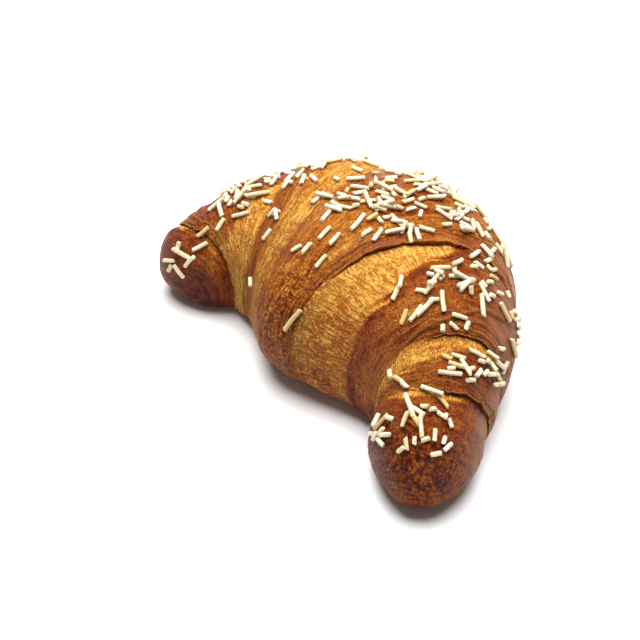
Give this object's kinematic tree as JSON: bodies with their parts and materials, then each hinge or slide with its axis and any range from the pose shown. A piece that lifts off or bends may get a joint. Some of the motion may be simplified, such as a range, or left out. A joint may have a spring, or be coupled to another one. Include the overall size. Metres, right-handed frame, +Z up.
{
  "type": "filled croissant with sugar rods",
  "caption": "Whole baked croissant, a crescent of rolled dough whose layers step down to two rounded horns, strewn with short sugar rods, resting on a flat underside.",
  "frame": {"origin": "middle of the underside of the bounding box, on the surface that the croissant rests on", "axes": "+X from the left horn's side to the right horn's, +Y from the horns' side to the outer side of the bend, +Z up"},
  "size_m": [0.1505, 0.0979, 0.0574],
  "materials": {
    "glazed_crust": "egg-washed baked dough, golden beside each lip and dark brown on the horns, satin",
    "sugar": "opaque off-white sugar rods, some toasted to straw yellow, matte"
  },
  "bodies": {
    "root": {"croissant": "glazed_crust"}
  },
  "joints": []
}
